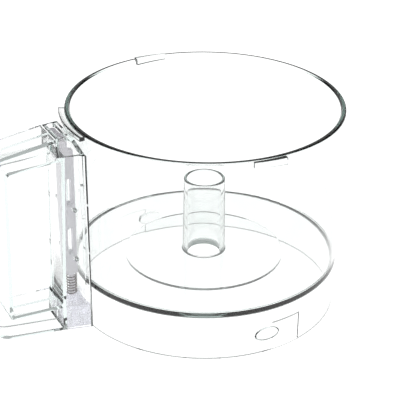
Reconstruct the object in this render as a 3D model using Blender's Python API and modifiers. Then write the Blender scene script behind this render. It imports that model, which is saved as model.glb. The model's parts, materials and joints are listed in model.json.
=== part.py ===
"""Clear work bowl of a food processor, with its handle and spring-loaded activating rod.

Metres, +Z up. The origin is on the bowl's axis, in the plane of the skirt's bottom edge.
The handle points along -X, and the rod slides along Z inside the handle's column.
Side views of the handle are drawn as (r, z): r is the distance from the bowl's axis
towards the handle, so X = -r.
"""

import math

import bmesh
import bpy
from mathutils import Matrix, Vector

MM = 0.001
GAP = 0.3 * MM  # clearance between neighbouring pieces

# Bowl
BOWL_HEIGHT = 154.6 * MM
RIM_RADIUS = 101.5 * MM  # outer radius at the rim
BASE_RADIUS = 99.7 * MM  # outer radius at the bottom of the skirt
RIM_INNER = 98.5 * MM  # inner edge of the rim's flat top
RIM_CHAMFER = 1.0 * MM  # how far the chamfer inside the rim leads in
RIM_CHAMFER_HEIGHT = 1.2 * MM
WALL = 2.9 * MM
FLOOR_TOP = 36.6 * MM
FLOOR_THICKNESS = 3.0 * MM
FLOOR_FILLET = 2.8 * MM
DISC_RADIUS = 59.4 * MM  # the floor's thicker middle, which stands out below
DISC_DROP = 1.9 * MM
BOWL_STEPS = 96

# Centre tube
TUBE_TOP = 96.0 * MM
TUBE_TOP_RADIUS = 15.3 * MM
TUBE_FOOT_RADIUS = 15.9 * MM
TUBE_BORE_TOP = 13.0 * MM
TUBE_BORE_FOOT = 12.6 * MM
TUBE_SOCKET_RADIUS = 14.2 * MM  # wider mouth under the floor, round the drive shaft
TUBE_SOCKET_TOP = 36.5 * MM
TUBE_FILLET = 2.0 * MM

# Rim lugs that hold the lid: each grows wider and deeper from its start to its end
LUG_TOP = 154.1 * MM
LUG_START = math.radians(-8.0)  # from the side's middle
LUG_ANGLE = math.radians(13.5)
LUG_RADII = (103.5 * MM, 104.6 * MM)
LUG_BOTTOMS = (149.9 * MM, 148.6 * MM)
HANDLE_LUG_START = math.radians(159.2)
HANDLE_LUG_ANGLE = math.radians(30.2)
HANDLE_LUG_RADIUS = 105.9 * MM
HANDLE_LUG_BOTTOM = 151.0 * MM

# Bayonets in the skirt, one at each side
RECESS_TOP = 22.7 * MM
RECESS_START = math.radians(3.4)  # from the side's middle
RECESS_ANGLE = math.radians(14.4)
RECESS_DEPTH = 1.0 * MM
BOSS_WIDTH = 19.5 * MM
BOSS_HEIGHT = 10.8 * MM
BOSS_Z = 14.0 * MM
BOSS_RISE = 1.8 * MM
BOSS_ANGLE = math.radians(1.1)

# Handle loop
GRIP_OUT = 178.0 * MM  # outermost face of the grip
HANDLE_HALF = 13.6 * MM  # half the width of the loop
FLANGE = 2.8 * MM
WEB_HALF = 1.5 * MM
LOOP_CORNER = 21.5 * MM
HANDLE_BOTTOM = 0.8 * MM
HANDLE_TOP = 154.6 * MM
TOP_DROP = 9.6 * MM  # fall of the top bar from the column to the grip
BOTTOM_RISE = 5.3 * MM  # rise of the bottom bar from the column to the grip
WINDOW_BOTTOM = 22.8 * MM
WINDOW_TOP = 137.2 * MM
WINDOW_TOP_OUT = 133.7 * MM
WINDOW_GRIP_BOTTOM = 157.4 * MM
WINDOW_GRIP_TOP = 155.4 * MM

# Column
COLUMN_FACE_TOP = 116.6 * MM  # window-side face at the window's top and bottom
COLUMN_FACE_BOTTOM = 119.7 * MM
COLUMN_HALF = 16.8 * MM  # half width at COLUMN_ROOT
COLUMN_ROOT = 98.0 * MM
COLUMN_END = 118.5 * MM  # where the column is as narrow as the loop
COLUMN_TOP = 140.0 * MM
COLUMN_WALL = 2.8 * MM
COLUMN_FACE_WALL = 2.9 * MM
COLUMN_LIP = 1.8 * MM  # outward lip along the bowl, which fades out downwards
COLUMN_LIP_END = 104.6 * MM

# Cap with the lid's slot
CAP_FOOT = 100.5 * MM
CAP_LIP = 108.3 * MM
CAP_END = 120.0 * MM
SLOT_IN = 111.5 * MM
SLOT_OUT = 117.5 * MM
SLOT_HALF = 14.0 * MM
CAP_SIDE_WALL = 1.5 * MM

# Activating rod
ROD_R = 108.2 * MM
ROD_WIDTH = 8.7 * MM
ROD_THICKNESS = 5.0 * MM
ROD_BOTTOM = 40.7 * MM
ROD_TOP = 139.0 * MM
STEM_RADIUS = 2.35 * MM
STEM_BOTTOM = 0.9 * MM
HEAD_TOP = 151.6 * MM
HEAD_THICKNESS = 4.0 * MM
HEAD_HALF = 11.8 * MM
GUIDE_WIDTH = 4.2 * MM
GUIDE_LENGTH = 21.5 * MM
PIN_RADIUS = 1.5 * MM
PIN_HEIGHTS = {"guide_pin_upper": 97.8 * MM, "guide_pin_lower": 58.4 * MM}

# Retainer and spring
RETAINER_BOTTOM = 1.0 * MM
RETAINER_TOP = 19.0 * MM
SEAT_TOP = 22.3 * MM
SEAT_RADIUS = 4.2 * MM
STEM_BORE = 2.9 * MM
SPRING_WIRE = 0.45 * MM
SPRING_RADIUS = 3.65 * MM
SPRING_TURNS = 7.5

ALONG_Y = Matrix.Rotation(math.radians(90), 4, "X")


def clear_scene():
    for old in list(bpy.data.objects):
        bpy.data.objects.remove(old, do_unlink=True)


def new_collection(name):
    collection = bpy.data.collections.new(name)
    bpy.context.scene.collection.children.link(collection)
    return collection


def place(obj, collection):
    for owner in list(obj.users_collection):
        owner.objects.unlink(obj)
    collection.objects.link(obj)
    return obj


def as_cutter(obj):
    obj.hide_render = True
    obj.display_type = "WIRE"
    return place(obj, CUTTERS)


def material(name, colour, roughness, metallic=0.0, alpha=1.0):
    made = bpy.data.materials.new(name)
    made.use_nodes = True
    shader = made.node_tree.nodes["Principled BSDF"]
    shader.inputs["Base Color"].default_value = (*colour, 1.0)
    shader.inputs["Roughness"].default_value = roughness
    shader.inputs["Metallic"].default_value = metallic
    shader.inputs["Alpha"].default_value = alpha
    return made


def mesh_object(name, bm, collection):
    bmesh.ops.recalc_face_normals(bm, faces=bm.faces)
    mesh = bpy.data.meshes.new(name)
    bm.to_mesh(mesh)
    bm.free()
    obj = bpy.data.objects.new(name, mesh)
    collection.objects.link(obj)
    return obj


def rounded(points, radii, segments=6):
    """The closed outline through points, with each corner rounded to its radius."""
    outline = []
    count = len(points)
    for index, radius in enumerate(radii):
        corner = Vector(points[index])
        before = (Vector(points[index - 1]) - corner).normalized()
        after = (Vector(points[(index + 1) % count]) - corner).normalized()
        if radius <= 0:
            outline.append(tuple(corner))
            continue
        half = before.angle(after) / 2
        centre = corner + (before + after).normalized() * radius / math.sin(half)
        start = corner + before * radius / math.tan(half) - centre
        turn = start.angle_signed(corner + after * radius / math.tan(half) - centre)
        for step in range(segments + 1):
            outline.append(tuple(centre + Matrix.Rotation(-turn * step / segments, 2) @ start))
    return outline


def slab(name, outline, low, high, matrix):
    """A solid from a flat outline, raised from low to high along the outline's normal."""
    curve = bpy.data.curves.new(name, "CURVE")
    curve.dimensions = "2D"
    curve.fill_mode = "BOTH"
    curve.extrude = (high - low) / 2
    spline = curve.splines.new("POLY")
    spline.points.add(len(outline) - 1)
    for point, (u, v) in zip(spline.points, outline):
        point.co = (u, v, 0, 1)
    spline.use_cyclic_u = True
    drawn = bpy.data.objects.new(name + "_outline", curve)
    CUTTERS.objects.link(drawn)
    drawn.matrix_world = matrix @ Matrix.Translation((0, 0, (high + low) / 2))
    bpy.context.view_layer.update()
    evaluated = drawn.evaluated_get(bpy.context.evaluated_depsgraph_get())
    mesh = bpy.data.meshes.new_from_object(evaluated)
    bm = bmesh.new()
    bm.from_mesh(mesh)
    bmesh.ops.remove_doubles(bm, verts=bm.verts, dist=1e-6)
    bmesh.ops.transform(bm, matrix=drawn.matrix_world, verts=bm.verts)
    bpy.data.objects.remove(drawn, do_unlink=True)
    return as_cutter(mesh_object(name, bm, CUTTERS))


def side_slab(name, outline, low, high):
    """A solid from an outline in (r, z), from Y = low to Y = high."""
    mirrored = [(-r, z) for r, z in outline]
    return slab(name, mirrored, -high, -low, ALONG_Y)


def plan_slab(name, outline, low, high):
    """A solid from an outline in (r, y), from Z = low to Z = high."""
    return slab(name, [(-r, y) for r, y in outline], low, high, Matrix.Identity(4))


def turned(name, outline, steps):
    """A closed ring of revolution from an outline in (radius, z), outer side first."""
    bm = bmesh.new()
    verts = [bm.verts.new((radius, 0, z)) for radius, z in outline]
    for index, vert in enumerate(verts):
        bm.edges.new((verts[index - 1], vert))
    mesh = bpy.data.meshes.new(name)
    bm.to_mesh(mesh)
    bm.free()
    obj = bpy.data.objects.new(name, mesh)
    PARTS.objects.link(obj)
    screw = obj.modifiers.new("turn", "SCREW")
    screw.steps = steps
    screw.render_steps = steps
    screw.use_merge_vertices = True
    screw.merge_threshold = 0.00001
    return obj


def sector(name, section, start, angle, steps):
    """Part of a ring: section(share) gives its outline in (radius, z) along the way."""
    bm = bmesh.new()
    rings = []
    for step in range(steps + 1):
        share = step / steps
        turn = Matrix.Rotation(start + angle * share, 3, "Z")
        rings.append([bm.verts.new(turn @ Vector((r, 0, z))) for r, z in section(share)])
    for here, there in zip(rings, rings[1:]):
        for index in range(len(here)):
            bm.faces.new((here[index - 1], here[index], there[index], there[index - 1]))
    bm.faces.new(rings[0])
    bm.faces.new(rings[-1])
    return as_cutter(mesh_object(name, bm, CUTTERS))


def cylinder(name, radius, low, high, at, axis="Z", segments=24):
    bm = bmesh.new()
    bmesh.ops.create_cone(
        bm,
        cap_ends=True,
        segments=segments,
        radius1=radius,
        radius2=radius,
        depth=high - low,
    )
    bmesh.ops.translate(bm, verts=bm.verts, vec=(0, 0, (high + low) / 2))
    if axis == "Y":
        bmesh.ops.rotate(bm, verts=bm.verts, matrix=ALONG_Y.to_3x3())
    bmesh.ops.translate(bm, verts=bm.verts, vec=at)
    return as_cutter(mesh_object(name, bm, CUTTERS))


def combine(obj, operation, other):
    boolean = obj.modifiers.new(other.name, "BOOLEAN")
    boolean.operation = operation
    boolean.solver = "EXACT"
    boolean.object = other


def finish(obj, name, made, smooth=30):
    """Fix the modifiers' result as the piece's own mesh, shaded smooth round its curves."""
    bpy.context.view_layer.update()
    evaluated = obj.evaluated_get(bpy.context.evaluated_depsgraph_get())
    mesh = bpy.data.meshes.new_from_object(evaluated)
    bm = bmesh.new()
    bm.from_mesh(mesh)
    bmesh.ops.remove_doubles(bm, verts=bm.verts, dist=2e-6)
    bmesh.ops.dissolve_degenerate(bm, edges=bm.edges, dist=2e-6)
    bm.to_mesh(mesh)
    bm.free()
    mesh.materials.clear()
    mesh.materials.append(made)
    mesh.shade_smooth()
    mesh.set_sharp_from_angle(angle=math.radians(smooth))
    piece = bpy.data.objects.new(name, mesh)
    piece.matrix_world = obj.matrix_world
    bpy.data.objects.remove(obj, do_unlink=True)
    piece.name = name
    PARTS.objects.link(piece)
    return piece


def outer_radius(z):
    return BASE_RADIUS + (RIM_RADIUS - BASE_RADIUS) * z / BOWL_HEIGHT


def arc(centre, radius, start, end, segments=4):
    """Points of an arc in (radius, z), from start to end in degrees."""
    points = []
    for step in range(segments + 1):
        angle = math.radians(start + (end - start) * step / segments)
        points.append(
            (centre[0] + radius * math.cos(angle), centre[1] + radius * math.sin(angle))
        )
    return points


def bowl_outline():
    """The bowl's section: down the outside, up under the floor, and down the inside."""
    round_rim = 0.7 * MM
    under = FLOOR_TOP - FLOOR_THICKNESS
    inner_foot = outer_radius(FLOOR_TOP) - WALL
    disc = under - DISC_DROP
    lead_in = RIM_INNER - RIM_CHAMFER
    lead_in_z = BOWL_HEIGHT - RIM_CHAMFER_HEIGHT
    tube_round = 1.0 * MM
    outline = arc((RIM_RADIUS - round_rim, BOWL_HEIGHT - round_rim), round_rim, 90, 0, 2)
    outline += arc((BASE_RADIUS - 0.6 * MM, 0.6 * MM), 0.6 * MM, 0, -90, 1)
    outline += arc((BASE_RADIUS - WALL + 0.6 * MM, 0.6 * MM), 0.6 * MM, -90, -180, 1)
    skirt_in = outer_radius(under) - WALL
    outline += arc((skirt_in - 1.5 * MM, under - 1.5 * MM), 1.5 * MM, 0, 90, 2)
    outline += [(DISC_RADIUS, under), (DISC_RADIUS - 0.1 * MM, disc)]
    outline += [(TUBE_SOCKET_RADIUS + 0.4 * MM, disc)]
    outline += [(TUBE_SOCKET_RADIUS, disc + 0.4 * MM)]
    outline += [(TUBE_SOCKET_RADIUS, TUBE_SOCKET_TOP), (TUBE_BORE_FOOT, TUBE_SOCKET_TOP)]
    outline += arc((TUBE_BORE_TOP + tube_round, TUBE_TOP - tube_round), tube_round, 180, 90, 2)
    outline += arc((TUBE_TOP_RADIUS - tube_round, TUBE_TOP - tube_round), tube_round, 90, 0, 2)
    outline += arc(
        (TUBE_FOOT_RADIUS + TUBE_FILLET, FLOOR_TOP + TUBE_FILLET), TUBE_FILLET, 180, 270, 3
    )
    outline += arc(
        (inner_foot - FLOOR_FILLET, FLOOR_TOP + FLOOR_FILLET), FLOOR_FILLET, 270, 360, 4
    )
    outline += [(lead_in, lead_in_z - 0.3 * MM), (lead_in + 0.2 * MM, lead_in_z + 0.2 * MM)]
    outline += [(RIM_INNER - 0.2 * MM, BOWL_HEIGHT - 0.4 * MM), (RIM_INNER, BOWL_HEIGHT)]
    return outline


def rim_lug(name, start, angle, lows, radii):
    def section(share):
        edge = 0.5 * MM
        root = RIM_RADIUS - 1.5 * MM
        low = lows[0] + (lows[1] - lows[0]) * share
        out = radii[0] + (radii[1] - radii[0]) * share
        return [
            (root, low),
            (out - edge, low),
            (out, low + edge),
            (out, LUG_TOP - edge),
            (out - edge, LUG_TOP),
            (root, LUG_TOP),
        ]

    return sector(name, section, start, angle, 6)


def bayonet_recess(name, side):
    inner = BASE_RADIUS - WALL
    outline = [
        (inner - 3 * MM, -2 * MM),
        (inner + RECESS_DEPTH, -2 * MM),
        (outer_radius(RECESS_TOP) - WALL + RECESS_DEPTH, RECESS_TOP),
        (inner - 3 * MM, RECESS_TOP),
    ]
    return sector(name, lambda share: outline, side + RECESS_START, RECESS_ANGLE, 5)


def bayonet_boss(name, side):
    """An oval pad on the skirt's inner face, beside the recess."""
    reach = BASE_RADIUS - WALL - BOSS_RISE
    boss = cylinder(name, 0.5, reach, BASE_RADIUS - 1.5 * MM, (0, 0, 0), "Z", 24)
    shape = Matrix.Diagonal((BOSS_HEIGHT, BOSS_WIDTH, 1, 1))
    turn = Matrix.Rotation(side + BOSS_ANGLE, 4, "Z")
    outward = Matrix.Rotation(math.radians(90), 4, "Y")
    lift = Matrix.Translation((0, 0, BOSS_Z))
    boss.data.transform(lift @ turn @ outward @ shape)
    return boss


def make_bowl(made):
    bowl = turned("bowl_ring", bowl_outline(), BOWL_STEPS)
    for index, side in enumerate((math.radians(270), math.radians(90))):
        start = side + LUG_START
        combine(bowl, "UNION", rim_lug(f"lug_{index}", start, LUG_ANGLE, LUG_BOTTOMS, LUG_RADII))
        combine(bowl, "DIFFERENCE", bayonet_recess(f"recess_{index}", side))
        combine(bowl, "UNION", bayonet_boss(f"boss_{index}", side))
    low = HANDLE_LUG_BOTTOM
    out = HANDLE_LUG_RADIUS
    lug = rim_lug("lug_handle", HANDLE_LUG_START, HANDLE_LUG_ANGLE, (low, low), (out, out))
    combine(bowl, "UNION", lug)
    return finish(bowl, "work_bowl", made)


def half_width(r):
    """Half the column's width at r: it narrows from the bowl to the loop."""
    share = (r - COLUMN_ROOT) / (COLUMN_END - COLUMN_ROOT)
    return COLUMN_HALF + (HANDLE_HALF - COLUMN_HALF) * share


def column_plan(inset=0.0, start=90 * MM, end=COLUMN_END):
    return [
        (start, -half_width(start) + inset),
        (start, half_width(start) - inset),
        (end, half_width(end) - inset),
        (end, -half_width(end) + inset),
    ]


def loop_outline(inset=0.0, start=90 * MM):
    """The handle's outer edge in (r, z), moved in by inset, from r = start outwards."""
    out = GRIP_OUT - inset
    low = HANDLE_BOTTOM + inset
    high = HANDLE_TOP - inset
    reach = GRIP_OUT - COLUMN_FACE_TOP
    bottom_end = low + BOTTOM_RISE * (out - COLUMN_FACE_TOP) / reach
    top_end = high - TOP_DROP * (out - CAP_END) / (GRIP_OUT - CAP_END)
    start_low = low if start > COLUMN_FACE_TOP else inset
    points = [(start, start_low), (COLUMN_FACE_TOP, low), (out, bottom_end), (out, top_end)]
    points += [(CAP_END, high), (start, high)]
    radii = [0, 0, LOOP_CORNER - inset, LOOP_CORNER - inset, 0, 0]
    if start > COLUMN_FACE_TOP:
        points = [points[0], *points[2:4], points[5]]
        radii = [1.5 * MM, radii[2], radii[3], 1.5 * MM]
    return rounded(points, radii, 8)


def window_outline(grow=0.0, start=None):
    low = WINDOW_BOTTOM - grow
    if start is None:
        inner = [(COLUMN_FACE_TOP, WINDOW_TOP), (COLUMN_FACE_BOTTOM, low)]
        radii = [2 * MM, 2 * MM]
    else:
        inner = [(start, WINDOW_TOP + grow), (start, low)]
        radii = [0, 0]
    points = inner + [
        (WINDOW_GRIP_BOTTOM + grow, low),
        (WINDOW_GRIP_TOP + grow, WINDOW_TOP_OUT + grow),
    ]
    return rounded(points, radii + [2 * MM + grow / 2] * 2, 4)


def bowl_space(name):
    """The space that the bowl's outer wall and a small gap take."""
    grow = GAP
    low = -5 * MM
    high = BOWL_HEIGHT + 5 * MM
    bm = bmesh.new()
    bmesh.ops.create_cone(
        bm,
        cap_ends=True,
        segments=BOWL_STEPS * 2,
        radius1=outer_radius(low) + grow,
        radius2=outer_radius(high) + grow,
        depth=high - low,
    )
    bmesh.ops.translate(bm, verts=bm.verts, vec=(0, 0, (high + low) / 2))
    return as_cutter(mesh_object(name, bm, CUTTERS))


def column_lip(name, sign):
    root = 97 * MM
    end = COLUMN_LIP_END
    outline = [
        (root, sign * (half_width(root) - 1 * MM)),
        (root, sign * (half_width(root) + COLUMN_LIP)),
        (end - 2 * MM, sign * (half_width(end - 2 * MM) + COLUMN_LIP)),
        (end, sign * half_width(end)),
        (end, sign * (half_width(end) - 1 * MM)),
    ]
    lip = plan_slab(name, outline, 2 * MM, COLUMN_TOP + 5 * MM)
    for point in lip.data.vertices:
        if point.co.z < COLUMN_TOP / 2:
            point.co.y -= sign * COLUMN_LIP
    return lip


def make_handle(made):
    wide = 30 * MM
    handle = side_slab("handle_body", loop_outline(), -wide, wide)
    plan = column_plan()
    plan[2:2] = [(GRIP_OUT + 9 * MM, HANDLE_HALF), (GRIP_OUT + 9 * MM, -HANDLE_HALF)]
    plan = [plan[0], plan[1], plan[4], plan[2], plan[3], plan[5]]
    combine(handle, "INTERSECT", plan_slab("handle_plan", plan, -9 * MM, 170 * MM))
    combine(handle, "DIFFERENCE", side_slab("window", window_outline(), -wide, wide))
    pocket_start = COLUMN_FACE_BOTTOM + 0.3 * MM
    for sign, side in ((-1, "near"), (1, "far")):
        low, high = sorted((sign * WEB_HALF, sign * wide))
        pocket = side_slab(f"pocket_{side}", loop_outline(FLANGE, pocket_start), low, high)
        keep = window_outline(FLANGE, 90 * MM)
        combine(pocket, "DIFFERENCE", side_slab(f"pocket_keep_{side}", keep, -wide, wide))
        combine(handle, "DIFFERENCE", pocket)
    cavity = plan_slab(
        "column_cavity", column_plan(COLUMN_WALL, 90 * MM, 120 * MM), -9 * MM, 170 * MM
    )
    face_low = COLUMN_FACE_BOTTOM - COLUMN_FACE_WALL
    face_high = COLUMN_FACE_TOP - COLUMN_FACE_WALL
    reach = [(80 * MM, -10 * MM), (face_low, -10 * MM), (face_low, WINDOW_BOTTOM)]
    reach += [(face_high, WINDOW_TOP), (face_high, 171 * MM), (80 * MM, 171 * MM)]
    combine(cavity, "INTERSECT", side_slab("cavity_reach", reach, -wide, wide))
    combine(handle, "DIFFERENCE", cavity)
    for sign, side in ((-1, "near"), (1, "far")):
        combine(handle, "UNION", column_lip(f"lip_{side}", sign))
    cap_edge = CAP_END + GAP
    cap_room = [(90 * MM, COLUMN_TOP), (cap_edge, COLUMN_TOP), (cap_edge, 170 * MM)]
    cap_room += [(90 * MM, 170 * MM)]
    combine(handle, "DIFFERENCE", side_slab("cap_room", cap_room, -wide, wide))
    combine(handle, "DIFFERENCE", bowl_space("bowl_space_handle"))
    for name, z in PIN_HEIGHTS.items():
        depth = half_width(ROD_R) - COLUMN_WALL / 2 + GAP
        hole = cylinder(f"{name}_hole", PIN_RADIUS + GAP, -depth, depth, (-ROD_R, 0, z), "Y")
        combine(handle, "DIFFERENCE", hole)
    return finish(handle, "handle_frame", made)


def make_cap(made):
    """The column's top: a hollow cap that slopes away from the rim, slotted for the lid."""
    foot = COLUMN_TOP + GAP
    lip = (CAP_LIP, HANDLE_TOP)
    side = [(CAP_FOOT, foot), (CAP_END, foot), (CAP_END, HANDLE_TOP), lip]
    cap = side_slab("cap_body", rounded(side, [0, 0, 0.5 * MM, 0.5 * MM], 2), -30 * MM, 30 * MM)
    combine(cap, "INTERSECT", plan_slab("cap_plan", column_plan(0, 90 * MM, 130 * MM), 0, 170 * MM))
    slope = (CAP_LIP - CAP_FOOT) / (HANDLE_TOP - foot)
    wall = COLUMN_WALL
    roof = HANDLE_TOP - wall
    inner_foot = CAP_FOOT + wall
    room = [
        (inner_foot - slope * 5 * MM, foot - 5 * MM),
        (CAP_END - 2.5 * MM, foot - 5 * MM),
        (CAP_END - 2.5 * MM, roof),
        (inner_foot + slope * (roof - foot), roof),
    ]
    inner = side_slab("cap_inner", room, -30 * MM, 30 * MM)
    inside = column_plan(CAP_SIDE_WALL, 90 * MM, 130 * MM)
    combine(inner, "INTERSECT", plan_slab("cap_inner_plan", inside, 0, 170 * MM))
    combine(cap, "DIFFERENCE", inner)
    half = min(SLOT_HALF, half_width(SLOT_OUT) - 1.2 * MM)
    corner = 2.5 * MM
    slot = rounded(
        [(SLOT_IN, -half), (SLOT_IN, half), (SLOT_OUT, half), (SLOT_OUT, -half)], [corner] * 4, 4
    )
    combine(cap, "DIFFERENCE", plan_slab("lid_slot", slot, roof - 3 * MM, 170 * MM))
    combine(cap, "DIFFERENCE", bowl_space("bowl_space_cap"))
    return finish(cap, "column_cap", made)


def make_rod(made):
    """The sliding bar: slotted blade, round stem below, and T-shaped head above."""
    inner = ROD_R - ROD_WIDTH / 2
    outer = ROD_R + ROD_WIDTH / 2
    half = ROD_THICKNESS / 2
    head_low = HEAD_TOP - HEAD_THICKNESS
    blade = [(inner, ROD_BOTTOM), (outer, ROD_BOTTOM), (outer, ROD_TOP), (inner, ROD_TOP)]
    rod = side_slab("rod_blade", rounded(blade, [0.8 * MM] * 4, 3), -half, half)
    arm_in = ROD_R + 0.4 * MM
    arm = [(arm_in, ROD_TOP - 4 * MM), (outer, ROD_TOP - 4 * MM), (outer + 0.2 * MM, head_low)]
    arm += [(SLOT_IN + 3 * MM, head_low), (SLOT_IN + 3 * MM, HEAD_TOP - 1.5 * MM)]
    arm += [(arm_in + 1.2 * MM, HEAD_TOP - 1.5 * MM), (arm_in, head_low - 1.5 * MM)]
    combine(rod, "UNION", side_slab("rod_arm", arm, -half - 1.5 * MM, half + 1.5 * MM))
    head = [
        (SLOT_IN + GAP, -HEAD_HALF),
        (SLOT_IN + GAP, HEAD_HALF),
        (SLOT_OUT - GAP, HEAD_HALF),
        (SLOT_OUT - GAP, -HEAD_HALF),
    ]
    head = rounded(head, [1.8 * MM] * 4, 3)
    combine(rod, "UNION", plan_slab("rod_head", head, head_low, HEAD_TOP))
    stem_top = ROD_BOTTOM + 3 * MM
    at = (-ROD_R, 0, 0)
    stem = cylinder("rod_stem", STEM_RADIUS, STEM_BOTTOM, stem_top, at, "Z", 20)
    combine(rod, "UNION", stem)
    for name, z in PIN_HEIGHTS.items():
        low = z - PIN_RADIUS - GAP
        high = low + GUIDE_LENGTH
        left = ROD_R - GUIDE_WIDTH / 2
        right = ROD_R + GUIDE_WIDTH / 2
        slot = [(left, low), (right, low), (right, high), (left, high)]
        slot = rounded(slot, [GUIDE_WIDTH / 2 - 0.05 * MM] * 4, 4)
        combine(rod, "DIFFERENCE", side_slab(f"{name}_slot", slot, -9 * MM, 9 * MM))
    return finish(rod, "activating_rod", made)


def make_retainer(made):
    """The block that closes the column's bottom, guides the stem and carries the spring."""
    end = COLUMN_FACE_BOTTOM - COLUMN_FACE_WALL - GAP
    plan = column_plan(COLUMN_WALL + GAP, 90 * MM, end)
    block = plan_slab("retainer_block", plan, RETAINER_BOTTOM, RETAINER_TOP)
    at = (-ROD_R, 0, 0)
    seat = cylinder("spring_seat", SEAT_RADIUS, RETAINER_TOP - 2 * MM, SEAT_TOP, at)
    combine(block, "UNION", seat)
    arch_low = 11 * MM
    arch = [(101.2 * MM, arch_low), (105.0 * MM, arch_low), (105.0 * MM, 16.5 * MM)]
    arch += [(101.2 * MM, 16.5 * MM)]
    arch = rounded(arch, [0.3 * MM, 0.3 * MM, 1.85 * MM, 1.85 * MM], 4)
    combine(block, "DIFFERENCE", side_slab("retainer_arch", arch, -30 * MM, 30 * MM))
    combine(block, "DIFFERENCE", cylinder("stem_bore", STEM_BORE, -5 * MM, 30 * MM, at))
    combine(block, "DIFFERENCE", bowl_space("bowl_space_retainer"))
    return finish(block, "rod_retainer", made)


def make_pins(made):
    length = half_width(ROD_R) - COLUMN_WALL / 2
    for name, z in PIN_HEIGHTS.items():
        pin = cylinder(name + "_body", PIN_RADIUS, -length, length, (-ROD_R, 0, z), "Y", 20)
        finish(pin, name, made)


def make_spring(made):
    """A coil of round wire from the retainer's seat to the rod's shoulder."""
    low = SEAT_TOP + GAP + SPRING_WIRE
    high = ROD_BOTTOM - GAP - SPRING_WIRE
    per_turn = 14
    count = int(SPRING_TURNS * per_turn)
    curve = bpy.data.curves.new("spring", "CURVE")
    curve.dimensions = "3D"
    curve.bevel_depth = SPRING_WIRE
    curve.bevel_resolution = 2
    curve.use_fill_caps = True
    spline = curve.splines.new("POLY")
    spline.points.add(count)
    for index, point in enumerate(spline.points):
        share = index / count
        angle = 2 * math.pi * SPRING_TURNS * share
        point.co = (
            -ROD_R + SPRING_RADIUS * math.cos(angle),
            SPRING_RADIUS * math.sin(angle),
            low + (high - low) * share,
            1,
        )
    coil = bpy.data.objects.new("spring_coil", curve)
    CUTTERS.objects.link(coil)
    return finish(coil, "return_spring", made)


clear_scene()
PARTS = new_collection("food_processor_bowl")
CUTTERS = new_collection("cutters")

CLEAR = material("clear_polycarbonate", (0.93, 0.97, 0.96), 0.05, alpha=0.35)
CLEAR_HANDLE = material("clear_handle", (0.90, 0.96, 0.94), 0.05, alpha=0.35)
CLEAR_CAP = material("clear_cap", (0.88, 0.94, 0.93), 0.06, alpha=0.4)
LILAC = material("pale_lilac_plastic", (0.80, 0.78, 0.82), 0.35)
LILAC_BLOCK = material("pale_lilac_block", (0.84, 0.82, 0.88), 0.35)
STEEL = material("spring_steel", (0.42, 0.38, 0.38), 0.35, metallic=1.0)
CLEAR_PIN = material("clear_pin", (0.86, 0.92, 0.91), 0.06, alpha=0.45)

make_bowl(CLEAR)
make_handle(CLEAR_HANDLE)
make_cap(CLEAR_CAP)
make_rod(LILAC)
make_retainer(LILAC_BLOCK)
make_pins(CLEAR_PIN)
make_spring(STEEL)
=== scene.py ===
"""Looks of the clear work bowl: refined clear mouldings, rod, spring, studio and camera."""

import json
import math

import bmesh
import bpy
from mathutils import Matrix, Vector

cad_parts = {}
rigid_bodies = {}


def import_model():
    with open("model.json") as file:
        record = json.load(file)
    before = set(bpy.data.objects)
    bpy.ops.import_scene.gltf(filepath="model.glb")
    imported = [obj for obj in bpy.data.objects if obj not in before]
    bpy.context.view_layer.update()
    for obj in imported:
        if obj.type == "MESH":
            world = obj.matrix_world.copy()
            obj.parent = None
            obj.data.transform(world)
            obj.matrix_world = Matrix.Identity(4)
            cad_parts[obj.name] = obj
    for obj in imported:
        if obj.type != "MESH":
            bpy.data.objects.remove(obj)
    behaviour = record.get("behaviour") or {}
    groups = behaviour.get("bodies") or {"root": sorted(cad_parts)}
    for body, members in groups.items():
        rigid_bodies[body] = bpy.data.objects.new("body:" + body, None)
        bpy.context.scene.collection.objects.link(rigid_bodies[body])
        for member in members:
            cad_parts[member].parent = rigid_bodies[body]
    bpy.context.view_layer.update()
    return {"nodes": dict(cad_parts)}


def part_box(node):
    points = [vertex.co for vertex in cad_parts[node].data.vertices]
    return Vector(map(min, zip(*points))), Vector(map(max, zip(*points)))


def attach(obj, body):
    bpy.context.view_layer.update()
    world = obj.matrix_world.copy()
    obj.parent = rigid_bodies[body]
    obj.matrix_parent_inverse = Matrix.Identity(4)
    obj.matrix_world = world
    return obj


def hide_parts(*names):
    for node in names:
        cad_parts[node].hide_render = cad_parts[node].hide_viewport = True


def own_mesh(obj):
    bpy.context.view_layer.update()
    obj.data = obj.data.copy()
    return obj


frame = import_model()
scene = bpy.context.scene

MM = 0.001
SMOOTH_ANGLE = 38  # degrees: faces that meet at less than this are shaded as one
EDGE_ANGLE = 24  # degrees: edges sharper than this are rounded off

# Bowl: the CAD's sizes, with finer steps and with edges that suit the photograph's lines
BOWL_HEIGHT = 154.6 * MM
RIM_RADIUS = 101.5 * MM
RIM_EDGE = 1.4 * MM
RIM_INNER = 98.5 * MM
RIM_CHAMFER = 1.0 * MM
RIM_CHAMFER_HEIGHT = 1.2 * MM
BASE_RADIUS = 99.7 * MM
FOOT_EDGE = 0.12 * MM
WALL = 2.9 * MM
FLOOR_TOP = 36.6 * MM
FLOOR_THICKNESS = 3.0 * MM
FLOOR_FILLET = 2.8 * MM
SKIRT_FILLET = 1.5 * MM
DISC_RADIUS = 59.4 * MM  # the floor's thicker middle, which stands out below
DISC_DROP = 1.9 * MM
TUBE_TOP = 96.0 * MM
TUBE_TOP_RADIUS = 15.3 * MM
TUBE_TOP_EDGE = 1.12 * MM
TUBE_FOOT_RADIUS = 15.9 * MM
TUBE_BORE_TOP = 13.0 * MM
TUBE_BORE_FOOT = 12.6 * MM
TUBE_SOCKET_RADIUS = 14.2 * MM
TUBE_SOCKET_TOP = 36.5 * MM
TUBE_SOCKET_EDGE = 0.4 * MM
TUBE_FILLET = 1.1 * MM
BOWL_SEGMENTS = 240
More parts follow.
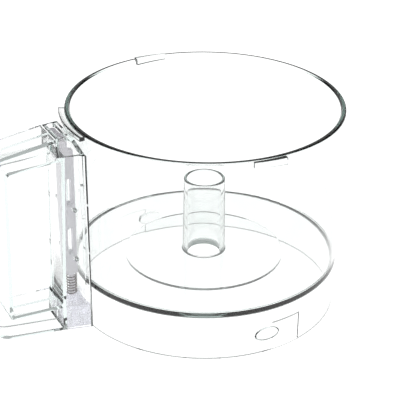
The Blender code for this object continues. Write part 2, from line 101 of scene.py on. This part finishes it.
LONG_RUN = 1.5 * MM  # longer runs of the section get extra points by their ends
RUN_GAP = 0.12 * MM  # and this far from them, which keeps the shading of corners local
SECTOR_STEPS = 12

# Lugs outside the rim: angles in degrees round the bowl's axis
SIDES = (270, 90)
LUG_TOP = 154.1 * MM
LUG_EDGE = 0.5 * MM
LUG_ROOT = 1.5 * MM  # depth of a lug's root inside the rim
LUG_START = -8.0
LUG_ANGLE = 13.5
LUG_BOTTOMS = (149.9 * MM, 148.6 * MM)
LUG_RADII = (103.5 * MM, 104.6 * MM)
HANDLE_LUG_START = 159.2
HANDLE_LUG_ANGLE = 30.2
HANDLE_LUG_BOTTOMS = (151.0 * MM, 151.0 * MM)
HANDLE_LUG_RADII = (105.9 * MM, 105.9 * MM)

# Bayonet entries inside the skirt
RECESS_TOP = 22.7 * MM
RECESS_DEPTH = 1.0 * MM
RECESS_SLOPE = 0.9 * MM  # how far below the recess's top its slope starts
RECESS_START = 3.4
RECESS_ANGLE = 14.4
BOSS_HALF_WIDTH = 9.75 * MM
BOSS_HALF_HEIGHT = 5.4 * MM
BOSS_Z = 14.0 * MM
BOSS_ANGLE = 1.1
BOSS_ROOT = 1.5 * MM  # depth of the boss's root under the wall's outer face
BOSS_STEPS = 56
# The boss's shoulder: share of its full outline, and rise from its root in millimetres
BOSS_SHOULDER = (
    (1, 0), (1, 1.0), (0.985, 1.6), (0.95, 2.1), (0.89, 2.55), (0.8, 2.9), (0.68, 3.12), (0.5, 3.2)
)

# Activating rod and spring
ROD_R = 108.2 * MM
SPRING_WIRE = 0.45 * MM
SPRING_RADIUS = 3.65 * MM
SPRING_TURNS = 7.5
SPRING_STEPS = 36  # points in one turn

# Clear plastic: height of its moulding waves, and how strongly its colour fills it
WAVE = 0.012 * MM
BOWL_DENSITY = 25.0
HANDLE_DENSITY = 22.0
PAINTED_GLOW = 0.15  # painted light: the lilac plastic glows in its own colour, standing in for light scattered inside it

# Studio
FLOOR_RADIUS = 6.0
FLOOR_Z = -0.0002
FLOOR_LIGHT = 1.28
FLOOR_FAR = 0.55
FLOOR_FADE = (0.8, 3.0)
PANEL_LIGHT = 0.5
GAP_LIGHT = 0.05
HORIZON_LIGHT = 0.5
TOP_LIGHT = 0.05
BOUNCES = 12

# Camera
CAMERA_YAW = -26.8
CAMERA_TILT = 62.16
CAMERA_ROLL = 0.78
CAMERA_PLACE = (0.00253, -0.9016, 0.5451)
CAMERA_LENS = 117.88


def round_edges(piece, width, segments):
    """Sharp edges become rounded ones, and the rest is shaded smooth."""
    bevel = piece.modifiers.new("edges", "BEVEL")
    bevel.width = width
    bevel.segments = segments
    bevel.limit_method = "ANGLE"
    bevel.angle_limit = math.radians(EDGE_ANGLE)
    bevel.use_clamp_overlap = True
    bevel.harden_normals = True
    piece.data.shade_smooth()
    piece.data.set_sharp_from_angle(angle=math.radians(SMOOTH_ANGLE))


def smooth_copy(node, width):
    """A new piece in place of a CAD node: the same solid, smooth, with a bevel on its edges.

    The bevel is clamped where faces are small, so most edges get much less than the width.
    """
    source = frame["nodes"][node]
    mesh = source.data.copy()
    mesh.name = node + "_clear"
    bm = bmesh.new()
    bm.from_mesh(mesh)
    bmesh.ops.remove_doubles(bm, verts=bm.verts, dist=0.000005)
    bmesh.ops.dissolve_limit(
        bm, angle_limit=math.radians(0.6), verts=bm.verts, edges=bm.edges
    )
    bmesh.ops.recalc_face_normals(bm, faces=bm.faces)
    bm.to_mesh(mesh)
    bm.free()
    if "custom_normal" in mesh.attributes:
        mesh.attributes.remove(mesh.attributes["custom_normal"])
    piece = bpy.data.objects.new(node + "_fine", mesh)
    scene.collection.objects.link(piece)
    round_edges(piece, width, 2)
    return piece


def outer_radius(z):
    """The wall's outer radius, which grows a little from foot to rim."""
    return BASE_RADIUS + (RIM_RADIUS - BASE_RADIUS) * z / BOWL_HEIGHT


def arc(centre, radius, start, end, segments=5):
    """Points along an arc in the (radius, z) plane, between two angles in degrees."""
    points = []
    for step in range(segments + 1):
        angle = math.radians(start + (end - start) * step / segments)
        points.append(
            (centre[0] + radius * math.cos(angle), centre[1] + radius * math.sin(angle))
        )
    return points


def bowl_outline():
    """The bowl's section: down the outside, up under the floor, and down the inside."""
    under = FLOOR_TOP - FLOOR_THICKNESS
    inner_foot = outer_radius(FLOOR_TOP) - WALL
    disc = under - DISC_DROP
    lead_in = RIM_INNER - RIM_CHAMFER
    lead_in_z = BOWL_HEIGHT - RIM_CHAMFER_HEIGHT
    foot = FOOT_EDGE
    top = TUBE_TOP_EDGE
    lip = TUBE_SOCKET_EDGE
    fillet = SKIRT_FILLET
    outline = arc((RIM_RADIUS - RIM_EDGE, BOWL_HEIGHT - RIM_EDGE), RIM_EDGE, 90, 0)
    outline += arc((BASE_RADIUS - foot, foot), foot, 0, -90, 4)
    outline += arc((BASE_RADIUS - WALL + foot, foot), foot, -90, -180, 4)
    skirt_in = outer_radius(under) - WALL
    outline += arc((skirt_in - fillet, under - fillet), fillet, 0, 90)
    outline += [(DISC_RADIUS, under), (DISC_RADIUS - 0.1 * MM, disc)]
    outline += arc((TUBE_SOCKET_RADIUS + lip, disc + lip), lip, 270, 180, 3)
    outline += [(TUBE_SOCKET_RADIUS, TUBE_SOCKET_TOP), (TUBE_BORE_FOOT, TUBE_SOCKET_TOP)]
    outline += arc((TUBE_BORE_TOP + top, TUBE_TOP - top), top, 180, 90)
    outline += arc((TUBE_TOP_RADIUS - top, TUBE_TOP - top), top, 90, 0)
    tube_foot = (TUBE_FOOT_RADIUS + TUBE_FILLET, FLOOR_TOP + TUBE_FILLET)
    outline += arc(tube_foot, TUBE_FILLET, 180, 270, 6)
    inner = (inner_foot - FLOOR_FILLET, FLOOR_TOP + FLOOR_FILLET)
    outline += arc(inner, FLOOR_FILLET, 270, 360, 8)
    # The rim's chamfered inner edge, with both of its corners eased
    outline += [(lead_in, lead_in_z - 0.3 * MM), (lead_in + 0.06 * MM, lead_in_z)]
    outline += [(lead_in + 0.2 * MM, lead_in_z + 0.2 * MM)]
    outline += [(RIM_INNER - 0.2 * MM, BOWL_HEIGHT - 0.4 * MM)]
    outline += [(RIM_INNER - 0.1 * MM, BOWL_HEIGHT - 0.12 * MM), (RIM_INNER, BOWL_HEIGHT)]
    return outline


def held(outline):
    """The same outline with extra points close to the ends of each long straight run."""
    points = []
    for index, point in enumerate(outline):
        following = outline[(index + 1) % len(outline)]
        a, b = Vector(point), Vector(following)
        points.append(a)
        length = (b - a).length
        if length > LONG_RUN:
            step = (b - a) * (RUN_GAP / length)
            points += [a + step, b - step]
    return points


def turned(outline, segments):
    """A ring: the outline of (radius, z) points turned round the bowl's axis."""
    bm = bmesh.new()
    rings = []
    for index in range(segments):
        turn = Matrix.Rotation(2 * math.pi * index / segments, 3, "Z")
        rings.append([bm.verts.new(turn @ Vector((r, 0, z))) for r, z in outline])
    count = len(outline)
    for index in range(segments):
        here, there = rings[index], rings[(index + 1) % segments]
        for step in range(count):
            after = (step + 1) % count
            bm.faces.new((here[step], there[step], there[after], here[after]))
    return bm


def sector(section, start, angle, steps):
    """Part of a ring: section(share) gives its outline in (radius, z) along the way."""
    bm = bmesh.new()
    rings = []
    for step in range(steps + 1):
        share = step / steps
        turn = Matrix.Rotation(start + angle * share, 3, "Z")
        rings.append([bm.verts.new(turn @ Vector((r, 0, z))) for r, z in section(share)])
    for here, there in zip(rings, rings[1:]):
        for index in range(len(here)):
            bm.faces.new((here[index - 1], here[index], there[index], there[index - 1]))
    bm.faces.new(rings[0])
    bm.faces.new(rings[-1])
    return bm


def held_object(name, bm, collection):
    """A bmesh as a new object in a collection."""
    bmesh.ops.recalc_face_normals(bm, faces=bm.faces)
    mesh = bpy.data.meshes.new(name)
    bm.to_mesh(mesh)
    bm.free()
    obj = bpy.data.objects.new(name, mesh)
    collection.objects.link(obj)
    return obj


def fixed(obj, name):
    """The evaluated mesh of obj as a new piece."""
    bpy.context.view_layer.update()
    evaluated = obj.evaluated_get(bpy.context.evaluated_depsgraph_get())
    mesh = bpy.data.meshes.new_from_object(evaluated)
    bpy.data.objects.remove(obj, do_unlink=True)
    piece = bpy.data.objects.new(name, mesh)
    scene.collection.objects.link(piece)
    return piece


def rim_lug(start, angle, lows, radii):
    """One lug outside the rim, growing from its start to its end, with round edges."""

    def section(share):
        edge = LUG_EDGE
        root = RIM_RADIUS - LUG_ROOT
        low = lows[0] + (lows[1] - lows[0]) * share
        out = radii[0] + (radii[1] - radii[0]) * share
        outline = [(root, low)]
        outline += arc((out - edge, low + edge), edge, -90, 0, 3)
        outline += arc((out - edge, LUG_TOP - edge), edge, 0, 90, 3)
        return outline + [(root, LUG_TOP)]

    return sector(section, math.radians(start), math.radians(angle), SECTOR_STEPS)


def bayonet_recess(side):
    """What is cut out of the skirt's inner face, with a slope along its top."""
    inner = BASE_RADIUS - WALL
    inner_top = outer_radius(RECESS_TOP) - WALL
    outline = [
        (inner - 3 * MM, -2 * MM),
        (inner + RECESS_DEPTH, -2 * MM),
        (inner_top + RECESS_DEPTH, RECESS_TOP - RECESS_SLOPE),
        (inner_top - 0.1 * MM, RECESS_TOP + 0.2 * MM),
        (inner - 3 * MM, RECESS_TOP + 0.2 * MM),
    ]
    start = math.radians(side + RECESS_START)
    return sector(lambda share: outline, start, math.radians(RECESS_ANGLE), SECTOR_STEPS)


def bayonet_boss(side):
    """An oval pad on the skirt's inner face, with a round shoulder."""
    bm = bmesh.new()
    rings = []
    for scale, rise in BOSS_SHOULDER:
        ring = []
        for step in range(BOSS_STEPS):
            angle = 2 * math.pi * step / BOSS_STEPS
            across = BOSS_HALF_WIDTH * scale * math.cos(angle)
            up = BOSS_HALF_HEIGHT * scale * math.sin(angle)
            ring.append(bm.verts.new((-rise * MM, across, up)))
        rings.append(ring)
    for here, there in zip(rings, rings[1:]):
        for index in range(BOSS_STEPS):
            bm.faces.new((here[index - 1], here[index], there[index], there[index - 1]))
    bm.faces.new(rings[0])
    bm.faces.new(rings[-1])
    outward = Matrix.Translation((BASE_RADIUS - BOSS_ROOT, 0, BOSS_Z))
    place = Matrix.Rotation(math.radians(side + BOSS_ANGLE), 4, "Z") @ outward
    bmesh.ops.transform(bm, matrix=place, verts=bm.verts)
    return bm


def fine_bowl():
    """The whole bowl: the turned section with its lugs, recesses and bosses."""
    ring = turned(held(bowl_outline()), BOWL_SEGMENTS)
    bowl = held_object("bowl_ring", ring, scene.collection)
    lugs = bpy.data.collections.new("lugs")
    recesses = bpy.data.collections.new("recesses")
    bosses = bpy.data.collections.new("bosses")
    for side in SIDES:
        lug = rim_lug(side + LUG_START, LUG_ANGLE, LUG_BOTTOMS, LUG_RADII)
        held_object("lug", lug, lugs)
        held_object("recess", bayonet_recess(side), recesses)
        held_object("boss", bayonet_boss(side), bosses)
    lug = rim_lug(HANDLE_LUG_START, HANDLE_LUG_ANGLE, HANDLE_LUG_BOTTOMS, HANDLE_LUG_RADII)
    held_object("lug", lug, lugs)
    for operation, group in (("UNION", lugs), ("DIFFERENCE", recesses), ("UNION", bosses)):
        boolean = bowl.modifiers.new(group.name, "BOOLEAN")
        boolean.operation = operation
        boolean.solver = "EXACT"
        boolean.operand_type = "COLLECTION"
        boolean.collection = group
    piece = fixed(bowl, "work_bowl_fine")
    for group in (lugs, recesses, bosses):
        for obj in list(group.objects):
            bpy.data.objects.remove(obj, do_unlink=True)
        bpy.data.collections.remove(group)
    piece.data.shade_smooth()
    piece.data.set_sharp_from_angle(angle=math.radians(SMOOTH_ANGLE))
    return piece


def maths(tree, operation, *values):
    """A Math node; each value is a number or another node's output."""
    made = tree.nodes.new("ShaderNodeMath")
    made.operation = operation
    for index, value in enumerate(values):
        if isinstance(value, (int, float)):
            made.inputs[index].default_value = value
        else:
            tree.links.new(value, made.inputs[index])
    return made.outputs[0]


def ramp(tree, value, start, end, low=0.0, high=1.0):
    """Value from start to end becomes a soft step from low to high."""
    made = tree.nodes.new("ShaderNodeMapRange")
    made.interpolation_type = "SMOOTHSTEP"
    made.inputs["From Min"].default_value = start
    made.inputs["From Max"].default_value = end
    made.inputs["To Min"].default_value = low
    made.inputs["To Max"].default_value = high
    tree.links.new(value, made.inputs["Value"])
    return made.outputs["Result"]


def axes(tree, output):
    """The x, y and z outputs of a texture coordinate."""
    place = tree.nodes.new("ShaderNodeTexCoord")
    split = tree.nodes.new("ShaderNodeSeparateXYZ")
    tree.links.new(place.outputs[output], split.inputs["Vector"])
    return split.outputs["X"], split.outputs["Y"], split.outputs["Z"]


def noise(tree, scale, detail=2.0, stretch=(1, 1, 1)):
    """A soft random value that follows the object's own coordinates."""
    place = tree.nodes.new("ShaderNodeTexCoord")
    mapping = tree.nodes.new("ShaderNodeMapping")
    mapping.inputs["Scale"].default_value = stretch
    made = tree.nodes.new("ShaderNodeTexNoise")
    made.inputs["Scale"].default_value = scale
    made.inputs["Detail"].default_value = detail
    tree.links.new(place.outputs["Object"], mapping.inputs["Vector"])
    tree.links.new(mapping.outputs["Vector"], made.inputs["Vector"])
    return made.outputs["Fac"]


def shade(tree, value, low, high):
    """A colour that goes from low to high with the value."""
    made = tree.nodes.new("ShaderNodeMix")
    made.data_type = "RGBA"
    made.inputs["A"].default_value = (*low, 1)
    made.inputs["B"].default_value = (*high, 1)
    tree.links.new(value, made.inputs["Factor"])
    return made.outputs["Result"]


def bump(tree, height, distance):
    """A bumped normal from a height of 0 to 1, which stands for the distance."""
    made = tree.nodes.new("ShaderNodeBump")
    made.inputs["Strength"].default_value = 1.0
    made.inputs["Distance"].default_value = distance
    tree.links.new(height, made.inputs["Height"])
    return made.outputs["Normal"]


def material(name):
    """A new node material with its tree and its main shader."""
    made = bpy.data.materials.new(name)
    made.use_nodes = True
    return made, made.node_tree, made.node_tree.nodes["Principled BSDF"]


def clear_plastic(name, tint, density):
    """Polycarbonate with the long flow waves of moulding and a few faintly dull patches."""
    made, tree, shader = material(name)
    patches = ramp(tree, noise(tree, 35.0, 4.0), 0.45, 0.75)
    streaks = noise(tree, 60.0, 1.0, (1, 1, 0.12))
    tree.links.new(
        shade(tree, patches, (1, 1, 1), (0.975, 0.99, 0.985)), shader.inputs["Base Color"]
    )
    tree.links.new(ramp(tree, patches, 0.6, 1.0, 0.0, 0.012), shader.inputs["Roughness"])
    tree.links.new(bump(tree, streaks, WAVE), shader.inputs["Normal"])
    shader.inputs["IOR"].default_value = 1.58
    shader.inputs["Transmission Weight"].default_value = 1.0
    volume = tree.nodes.new("ShaderNodeVolumeAbsorption")
    volume.inputs["Color"].default_value = (*tint, 1)
    volume.inputs["Density"].default_value = density
    tree.links.new(volume.outputs["Volume"], tree.nodes["Material Output"].inputs["Volume"])
    return made


def milky_plastic_with_painted_glow(name, low, high, clearness, dull):
    """Slightly translucent moulding with a fine eroded grain, cloudy colour and a painted glow
    that brightens it.
    """
    made, tree, shader = material(name)
    clouds = noise(tree, 90.0, 3.0)
    grain = noise(tree, 1400.0, 2.0)
    tree.links.new(shade(tree, clouds, low, high), shader.inputs["Base Color"])
    tree.links.new(ramp(tree, grain, 0.3, 0.7, *dull), shader.inputs["Roughness"])
    tree.links.new(bump(tree, grain, 0.02 * MM), shader.inputs["Normal"])
    shader.inputs["Transmission Weight"].default_value = clearness
    # painted light: the plastic glows faintly in its lighter colour, though it is no lamp
    shader.inputs["Emission Color"].default_value = (*high, 1)
    shader.inputs["Emission Strength"].default_value = PAINTED_GLOW
    shader.inputs["IOR"].default_value = 1.49
    return made


def bright_steel(name, low, high):
    """Drawn wire with fine marks."""
    made, tree, shader = material(name)
    marks = noise(tree, 700.0, 3.0)
    tree.links.new(shade(tree, marks, low, high), shader.inputs["Base Color"])
    tree.links.new(ramp(tree, marks, 0.3, 0.7, 0.2, 0.4), shader.inputs["Roughness"])
    tree.links.new(bump(tree, marks, 0.01 * MM), shader.inputs["Normal"])
    shader.inputs["Metallic"].default_value = 1.0
    return made


bowl_clear = clear_plastic("bowl_clear", (0.53, 0.63, 0.60), BOWL_DENSITY)
handle_clear = clear_plastic("handle_clear", (0.52, 0.66, 0.635), HANDLE_DENSITY)
lilac = milky_plastic_with_painted_glow("lilac_rod", (0.86, 0.85, 0.89), (0.92, 0.91, 0.94), 0.3, (0.36, 0.5))
lilac_block = milky_plastic_with_painted_glow(
    "lilac_block", (0.90, 0.90, 0.95), (0.95, 0.95, 0.99), 0.55, (0.22, 0.32)
)
spring_steel = bright_steel("spring_steel", (0.22, 0.19, 0.19), (0.34, 0.30, 0.30))


def guide_pin(node):
    """A round pin with rounded ends, in the CAD pin's place."""
    low, high = (Vector(corner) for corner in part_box(node))
    radius = (high.x - low.x) / 2
    bm = bmesh.new()
    bmesh.ops.create_cone(
        bm, cap_ends=True, segments=48, radius1=radius, radius2=radius, depth=high.y - low.y
    )
    lie = Matrix.Translation((low + high) / 2) @ Matrix.Rotation(math.radians(90), 4, "X")
    bmesh.ops.transform(bm, matrix=lie, verts=bm.verts)
    piece = held_object(node + "_fine", bm, scene.collection)
    round_edges(piece, 0.3 * MM, 3)
    return piece


def coil_spring():
    """Round wire wound evenly between the CAD spring's ends."""
    low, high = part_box("return_spring")
    count = int(SPRING_TURNS * SPRING_STEPS)
    curve = bpy.data.curves.new("spring_wire", "CURVE")
    curve.dimensions = "3D"
    curve.bevel_depth = SPRING_WIRE
    curve.bevel_resolution = 5
    curve.use_fill_caps = True
    spline = curve.splines.new("POLY")
    spline.points.add(count)
    for index, point in enumerate(spline.points):
        share = index / count
        angle = 2 * math.pi * SPRING_TURNS * share
        across = -ROD_R + SPRING_RADIUS * math.cos(angle)
        climb = low[2] + SPRING_WIRE + (high[2] - low[2] - 2 * SPRING_WIRE) * share
        point.co = (across, SPRING_RADIUS * math.sin(angle), climb, 1)
    drawn = bpy.data.objects.new("spring_drawn", curve)
    scene.collection.objects.link(drawn)
    piece = fixed(drawn, "return_spring_fine")
    piece.data.shade_smooth()
    return piece


def add(piece, node, body, finish):
    """Give a piece its finish and put it in its CAD node's place."""
    piece.data.materials.clear()
    piece.data.materials.append(finish)
    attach(piece, body)
    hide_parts(node)


add(fine_bowl(), "work_bowl", "bowl", bowl_clear)
add(smooth_copy("handle_frame", 0.5 * MM), "handle_frame", "bowl", handle_clear)
add(smooth_copy("column_cap", 0.35 * MM), "column_cap", "bowl", handle_clear)
add(smooth_copy("rod_retainer", 0.3 * MM), "rod_retainer", "bowl", lilac_block)
add(smooth_copy("activating_rod", 0.3 * MM), "activating_rod", "rod", lilac)
for pin in ("guide_pin_upper", "guide_pin_lower"):
    add(guide_pin(pin), pin, "bowl", handle_clear)
spring = coil_spring()
add(spring, "return_spring", "bowl", spring_steel)
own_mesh(spring)

# Studio: a pale table that dims far from the object
floor_mesh = bpy.data.meshes.new("floor")
bm = bmesh.new()
bmesh.ops.create_circle(bm, cap_ends=True, segments=96, radius=FLOOR_RADIUS)
bm.to_mesh(floor_mesh)
bm.free()
floor = bpy.data.objects.new("floor", floor_mesh)
scene.collection.objects.link(floor)
floor.location = (0, 0, FLOOR_Z)
floor_white = bpy.data.materials.new("floor_white")
floor_white.use_nodes = True
tree = floor_white.node_tree
shader = tree.nodes["Principled BSDF"]
shader.inputs["Base Color"].default_value = (0.05, 0.05, 0.05, 1)
shader.inputs["Roughness"].default_value = 0.8
shader.inputs["Specular IOR Level"].default_value = 0.0
shader.inputs["Emission Color"].default_value = (1, 1, 1, 1)
x, y, _ = axes(tree, "Object")
squares = maths(tree, "MULTIPLY", x, x), maths(tree, "MULTIPLY", y, y)
away = maths(tree, "SQRT", maths(tree, "ADD", *squares))
light = ramp(tree, away, *FLOOR_FADE, FLOOR_LIGHT, FLOOR_FAR)
tree.links.new(light, shader.inputs["Emission Strength"])
floor_mesh.materials.append(floor_white)

# Four broad soft panels round the table with darker gaps between them, over a pale horizon
world = bpy.data.worlds.new("studio")
scene.world = world
world.use_nodes = True
tree = world.node_tree
x, y, z = axes(tree, "Generated")
azimuth = maths(tree, "ADD", maths(tree, "ARCTAN2", y, x), math.radians(-CAMERA_YAW))
panels = ramp(tree, maths(tree, "COSINE", maths(tree, "MULTIPLY", azimuth, 4.0)), -0.75, -0.35)
panels = maths(tree, "MULTIPLY", panels, ramp(tree, z, 0.70, 0.60))
bright = maths(tree, "MULTIPLY", panels, PANEL_LIGHT)
bright = maths(tree, "MAXIMUM", bright, ramp(tree, z, 0.28, 0.14, 0.0, HORIZON_LIGHT))
bright = maths(tree, "MAXIMUM", bright, ramp(tree, z, 0.90, 0.96, 0.0, TOP_LIGHT))
bright = maths(tree, "MAXIMUM", bright, GAP_LIGHT)
tree.links.new(bright, tree.nodes["Background"].inputs["Color"])

scene.view_settings.view_transform = "Standard"
scene.view_settings.look = "None"
scene.cycles.max_bounces = BOUNCES
scene.cycles.glossy_bounces = BOUNCES
scene.cycles.transmission_bounces = BOUNCES

camera_data = bpy.data.cameras.new("camera")
camera_data.lens = CAMERA_LENS
camera_data.sensor_width = 36.0
camera = bpy.data.objects.new("camera", camera_data)
scene.collection.objects.link(camera)
turn = Matrix.Rotation(math.radians(CAMERA_YAW), 4, "Z")
camera.matrix_world = (
    Matrix.Translation(turn @ Vector(CAMERA_PLACE))
    @ turn
    @ Matrix.Rotation(math.radians(CAMERA_TILT), 4, "X")
    @ Matrix.Rotation(math.radians(CAMERA_ROLL), 4, "Z")
)
scene.camera = camera
